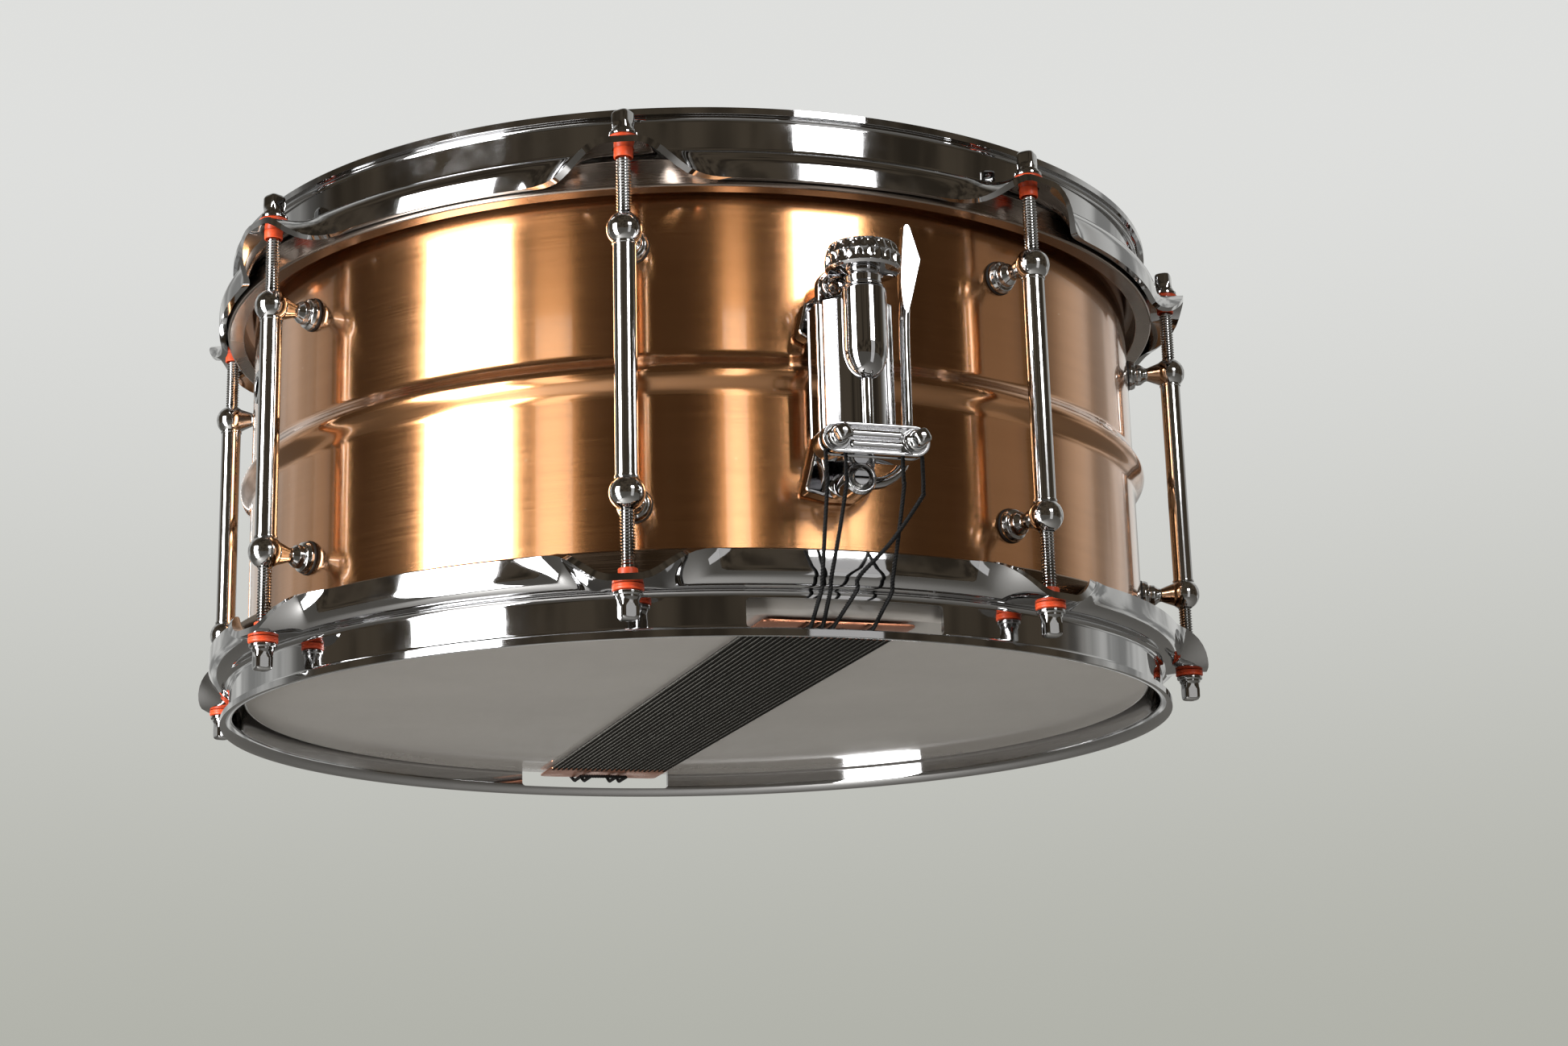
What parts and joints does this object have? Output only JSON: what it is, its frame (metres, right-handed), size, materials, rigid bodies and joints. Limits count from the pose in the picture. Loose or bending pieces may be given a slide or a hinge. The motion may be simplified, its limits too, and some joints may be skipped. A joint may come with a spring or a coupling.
{
  "type": "snare drum",
  "caption": "Snare drum with a beaded metal shell, tube lugs, flanged hoops, tension rods, drum heads, and a snare band drawn up by a lever-operated strainer and a butt clamp.",
  "frame": {"origin": "centre of the batter head's playing surface", "axes": "+Z out of the batter head along the drum's axis, -Y towards the strainer, +Y towards the butt plate, +X to the right seen from the strainer side"},
  "size_m": [0.3808, 0.4296, 0.1845],
  "materials": {
    "bronze_shell": "brushed round the shell and lacquered",
    "chrome": "polished",
    "batter_film": "sprayed matt coating on clear film",
    "snare_film": "thin hazy film, slightly glossy",
    "rod_steel": "plated, satin",
    "washer_nylon": "moulded nylon",
    "snare_wire": "steel coils on coppered end plates",
    "cord_braid": "braided synthetic cord"
  },
  "bodies": {
    "shell_body": {"shell": "bronze_shell", "vent_grommet": "chrome", "lug_1": "chrome", "lug_2": "chrome", "lug_3": "chrome", "lug_4": "chrome", "lug_5": "chrome", "lug_6": "chrome", "lug_7": "chrome", "lug_8": "chrome", "strainer_bracket": "chrome", "butt_plate": "chrome"},
    "batter_hoop_body": {"batter_hoop": "chrome", "batter_head": "batter_film", "batter_washer_1": "washer_nylon", "batter_washer_2": "washer_nylon", "batter_washer_3": "washer_nylon", "batter_washer_4": "washer_nylon", "batter_washer_5": "washer_nylon", "batter_washer_6": "washer_nylon", "batter_washer_7": "washer_nylon", "batter_washer_8": "washer_nylon"},
    "snare_hoop_body": {"snare_side_hoop": "chrome", "snare_side_head": "snare_film", "snare_washer_1": "washer_nylon", "snare_washer_2": "washer_nylon", "snare_washer_3": "washer_nylon", "snare_washer_4": "washer_nylon", "snare_washer_5": "washer_nylon", "snare_washer_6": "washer_nylon", "snare_washer_7": "washer_nylon", "snare_washer_8": "washer_nylon"},
    "batter_rod_1": {"batter_tension_rod_1": "rod_steel"},
    "batter_rod_2": {"batter_tension_rod_2": "rod_steel"},
    "batter_rod_3": {"batter_tension_rod_3": "rod_steel"},
    "batter_rod_4": {"batter_tension_rod_4": "rod_steel"},
    "batter_rod_5": {"batter_tension_rod_5": "rod_steel"},
    "batter_rod_6": {"batter_tension_rod_6": "rod_steel"},
    "batter_rod_7": {"batter_tension_rod_7": "rod_steel"},
    "batter_rod_8": {"batter_tension_rod_8": "rod_steel"},
    "snare_rod_1": {"snare_tension_rod_1": "rod_steel"},
    "snare_rod_2": {"snare_tension_rod_2": "rod_steel"},
    "snare_rod_3": {"snare_tension_rod_3": "rod_steel"},
    "snare_rod_4": {"snare_tension_rod_4": "rod_steel"},
    "snare_rod_5": {"snare_tension_rod_5": "rod_steel"},
    "snare_rod_6": {"snare_tension_rod_6": "rod_steel"},
    "snare_rod_7": {"snare_tension_rod_7": "rod_steel"},
    "snare_rod_8": {"snare_tension_rod_8": "rod_steel"},
    "snares": {"snare_wires": "snare_wire", "strainer_cord": "cord_braid", "butt_cord": "cord_braid"},
    "lever": {"strainer_lever": "chrome"},
    "carriage": {"strainer_carriage": "chrome"},
    "knob": {"tension_knob": "chrome"},
    "clamp": {"strainer_clamp_block": "chrome"},
    "clamp_plate": {"strainer_clamp_plate": "chrome"},
    "clamp_screw_left": {"strainer_clamp_screw_left": "rod_steel"},
    "clamp_screw_right": {"strainer_clamp_screw_right": "rod_steel"},
    "butt_clamp": {"butt_clamp_plate": "chrome"},
    "butt_screw": {"butt_clamp_screw": "rod_steel"}
  },
  "joints": [
    {"name": "batter_hoop_lift", "type": "slide", "parent": "shell_body", "child": "batter_hoop_body", "axis": [0, 0, 1], "range_m": [0, 0.006]},
    {"name": "snare_hoop_lift", "type": "slide", "parent": "shell_body", "child": "snare_hoop_body", "axis": [0, 0, -1], "range_m": [0, 0.006]},
    {"name": "batter_rod_1_turn", "type": "hinge", "parent": "batter_hoop_body", "child": "batter_rod_1", "pos_m": [0.17859, 0.07397, -0.00675], "axis": [0, 0, 1], "range_deg": [0, 2041.9]},
    {"name": "batter_rod_2_turn", "type": "hinge", "parent": "batter_hoop_body", "child": "batter_rod_2", "pos_m": [0.07397, 0.17859, -0.00675], "axis": [0, 0, 1], "range_deg": [0, 2041.9]},
    {"name": "batter_rod_3_turn", "type": "hinge", "parent": "batter_hoop_body", "child": "batter_rod_3", "pos_m": [-0.07397, 0.17859, -0.00675], "axis": [0, 0, 1], "range_deg": [0, 2041.9]},
    {"name": "batter_rod_4_turn", "type": "hinge", "parent": "batter_hoop_body", "child": "batter_rod_4", "pos_m": [-0.17859, 0.07397, -0.00675], "axis": [0, 0, 1], "range_deg": [0, 2041.9]},
    {"name": "batter_rod_5_turn", "type": "hinge", "parent": "batter_hoop_body", "child": "batter_rod_5", "pos_m": [-0.17859, -0.07397, -0.00675], "axis": [0, 0, 1], "range_deg": [0, 2041.9]},
    {"name": "batter_rod_6_turn", "type": "hinge", "parent": "batter_hoop_body", "child": "batter_rod_6", "pos_m": [-0.07397, -0.17859, -0.00675], "axis": [0, 0, 1], "range_deg": [0, 2041.9]},
    {"name": "batter_rod_7_turn", "type": "hinge", "parent": "batter_hoop_body", "child": "batter_rod_7", "pos_m": [0.07397, -0.17859, -0.00675], "axis": [0, 0, 1], "range_deg": [0, 2041.9]},
    {"name": "batter_rod_8_turn", "type": "hinge", "parent": "batter_hoop_body", "child": "batter_rod_8", "pos_m": [0.17859, -0.07397, -0.00675], "axis": [0, 0, 1], "range_deg": [0, 2041.9]},
    {"name": "snare_rod_1_turn", "type": "hinge", "parent": "snare_hoop_body", "child": "snare_rod_1", "pos_m": [0.17859, 0.07397, -0.15995], "axis": [0, 0, -1], "range_deg": [0, 2041.9]},
    {"name": "snare_rod_2_turn", "type": "hinge", "parent": "snare_hoop_body", "child": "snare_rod_2", "pos_m": [0.07397, 0.17859, -0.15995], "axis": [0, 0, -1], "range_deg": [0, 2041.9]},
    {"name": "snare_rod_3_turn", "type": "hinge", "parent": "snare_hoop_body", "child": "snare_rod_3", "pos_m": [-0.07397, 0.17859, -0.15995], "axis": [0, 0, -1], "range_deg": [0, 2041.9]},
    {"name": "snare_rod_4_turn", "type": "hinge", "parent": "snare_hoop_body", "child": "snare_rod_4", "pos_m": [-0.17859, 0.07397, -0.15995], "axis": [0, 0, -1], "range_deg": [0, 2041.9]},
    {"name": "snare_rod_5_turn", "type": "hinge", "parent": "snare_hoop_body", "child": "snare_rod_5", "pos_m": [-0.17859, -0.07397, -0.15995], "axis": [0, 0, -1], "range_deg": [0, 2041.9]},
    {"name": "snare_rod_6_turn", "type": "hinge", "parent": "snare_hoop_body", "child": "snare_rod_6", "pos_m": [-0.07397, -0.17859, -0.15995], "axis": [0, 0, -1], "range_deg": [0, 2041.9]},
    {"name": "snare_rod_7_turn", "type": "hinge", "parent": "snare_hoop_body", "child": "snare_rod_7", "pos_m": [0.07397, -0.17859, -0.15995], "axis": [0, 0, -1], "range_deg": [0, 2041.9]},
    {"name": "snare_rod_8_turn", "type": "hinge", "parent": "snare_hoop_body", "child": "snare_rod_8", "pos_m": [0.17859, -0.07397, -0.15995], "axis": [0, 0, -1], "range_deg": [0, 2041.9]},
    {"name": "lever_throw", "type": "hinge", "parent": "shell_body", "child": "lever", "pos_m": [0, -0.1928, -0.12485], "axis": [0, 1, 0], "range_deg": [0, 90]},
    {"name": "carriage_drop", "type": "slide", "parent": "shell_body", "child": "carriage", "axis": [0, 0, -1], "range_m": [0, 0.008]},
    {"name": "snares_drop", "type": "slide", "parent": "snare_hoop_body", "child": "snares", "axis": [0, 0, -1], "range_m": [0, 0.0035]},
    {"name": "knob_turn", "type": "hinge", "parent": "carriage", "child": "knob", "pos_m": [0, -0.207, -0.05275], "axis": [0, 0, 1], "range_deg": [0, 1125]},
    {"name": "clamp_travel", "type": "slide", "parent": "carriage", "child": "clamp", "axis": [0, 0, -1], "range_m": [0, 0.0025]},
    {"name": "clamp_plate_release", "type": "slide", "parent": "clamp", "child": "clamp_plate", "axis": [0, -1, 0], "range_m": [0, 0.001]},
    {"name": "clamp_screw_left_turn", "type": "hinge", "parent": "clamp_plate", "child": "clamp_screw_left", "pos_m": [-0.0134, -0.2148, -0.11635], "axis": [0, -1, 0], "range_deg": [0, 515.3]},
    {"name": "clamp_screw_right_turn", "type": "hinge", "parent": "clamp_plate", "child": "clamp_screw_right", "pos_m": [0.0134, -0.2148, -0.11635], "axis": [0, -1, 0], "range_deg": [0, 515.3]},
    {"name": "butt_clamp_release", "type": "slide", "parent": "shell_body", "child": "butt_clamp", "axis": [0, 1, 0], "range_m": [0, 0.001]},
    {"name": "butt_screw_turn", "type": "hinge", "parent": "butt_clamp", "child": "butt_screw", "pos_m": [0, 0.1996, -0.11635], "axis": [0, 1, 0], "range_deg": [0, 515.3]}
  ],
  "couplings": [
    {"joint": "batter_rod_1_turn", "follows": "batter_hoop_lift", "rad_per_m": 5936.9},
    {"joint": "batter_rod_2_turn", "follows": "batter_hoop_lift", "rad_per_m": 5936.9},
    {"joint": "batter_rod_3_turn", "follows": "batter_hoop_lift", "rad_per_m": 5936.9},
    {"joint": "batter_rod_4_turn", "follows": "batter_hoop_lift", "rad_per_m": 5936.9},
    {"joint": "batter_rod_5_turn", "follows": "batter_hoop_lift", "rad_per_m": 5936.9},
    {"joint": "batter_rod_6_turn", "follows": "batter_hoop_lift", "rad_per_m": 5936.9},
    {"joint": "batter_rod_7_turn", "follows": "batter_hoop_lift", "rad_per_m": 5936.9},
    {"joint": "batter_rod_8_turn", "follows": "batter_hoop_lift", "rad_per_m": 5936.9},
    {"joint": "snare_rod_1_turn", "follows": "snare_hoop_lift", "rad_per_m": 5936.9},
    {"joint": "snare_rod_2_turn", "follows": "snare_hoop_lift", "rad_per_m": 5936.9},
    {"joint": "snare_rod_3_turn", "follows": "snare_hoop_lift", "rad_per_m": 5936.9},
    {"joint": "snare_rod_4_turn", "follows": "snare_hoop_lift", "rad_per_m": 5936.9},
    {"joint": "snare_rod_5_turn", "follows": "snare_hoop_lift", "rad_per_m": 5936.9},
    {"joint": "snare_rod_6_turn", "follows": "snare_hoop_lift", "rad_per_m": 5936.9},
    {"joint": "snare_rod_7_turn", "follows": "snare_hoop_lift", "rad_per_m": 5936.9},
    {"joint": "snare_rod_8_turn", "follows": "snare_hoop_lift", "rad_per_m": 5936.9},
    {"joint": "carriage_drop", "follows": "lever_throw", "m_per_rad": 0.005093},
    {"joint": "snares_drop", "follows": "lever_throw", "m_per_rad": 0.0022282},
    {"joint": "clamp_travel", "follows": "knob_turn", "m_per_rad": 0.00012732},
    {"joint": "clamp_screw_left_turn", "follows": "clamp_plate_release", "rad_per_m": 8976},
    {"joint": "clamp_screw_right_turn", "follows": "clamp_plate_release", "rad_per_m": 8976},
    {"joint": "butt_screw_turn", "follows": "butt_clamp_release", "rad_per_m": 8976}
  ]
}
